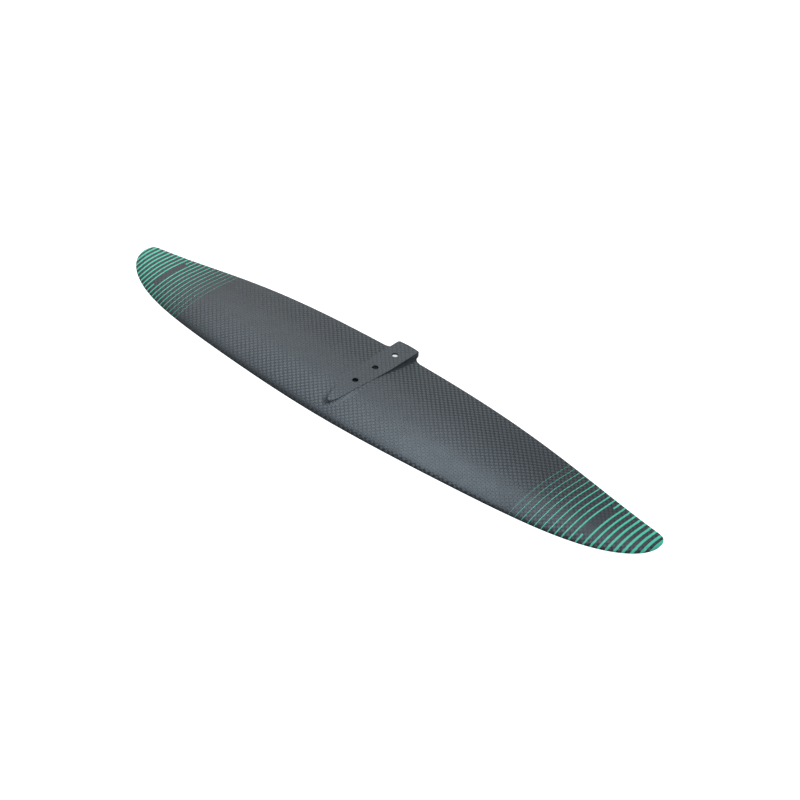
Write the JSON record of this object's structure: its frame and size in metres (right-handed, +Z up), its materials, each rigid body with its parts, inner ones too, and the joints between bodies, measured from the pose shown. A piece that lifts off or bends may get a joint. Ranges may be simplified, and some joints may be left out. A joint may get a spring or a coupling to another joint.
{
  "type": "hydrofoil front wing",
  "caption": "Swept hydrofoil front wing with drooping tips, a cored carbon lay-up and a flat mounting pad whose tail tab runs past the trailing edge.",
  "frame": {"origin": "on the flat mounting face of the pad, on the axis of the middle screw hole", "axes": "+Z up, out of the mounting face; the leading edge faces -Y; +X runs along the span to the wing's left-hand side"},
  "size_m": [0.8296, 0.163, 0.0396],
  "materials": {
    "carbon_skin": "woven carbon laminate under a satin clear coat",
    "carbon_edge": "unidirectional carbon, satin clear coat",
    "carbon_tip": "woven carbon over solid laminate, teal chordwise stripes under the clear coat",
    "carbon_pad": "moulded woven carbon, satin",
    "dense_block": "compression-moulded glass and epoxy",
    "spar_carbon": "unidirectional carbon, unpolished",
    "web_foam": "high-density closed-cell foam",
    "core_foam": "closed-cell PVC foam",
    "steel": "turned stainless steel"
  },
  "bodies": {
    "root": {"upper_skin": "carbon_skin", "lower_skin": "carbon_skin", "leading_edge_strip_left": "carbon_edge", "leading_edge_strip_right": "carbon_edge", "trailing_edge_strip_left": "carbon_skin", "trailing_edge_strip_right": "carbon_skin", "tip_block_left": "carbon_tip", "tip_block_right": "carbon_tip", "mounting_pad": "carbon_pad", "centre_block": "dense_block", "spar_cap_upper": "spar_carbon", "spar_cap_lower": "spar_carbon", "spar_web_left": "web_foam", "spar_web_right": "web_foam", "front_core_left": "core_foam", "front_core_right": "core_foam", "rear_core_left": "core_foam", "rear_core_right": "core_foam", "front_screw_sleeve": "steel", "middle_screw_sleeve": "steel", "rear_screw_sleeve": "steel"}
  },
  "joints": []
}
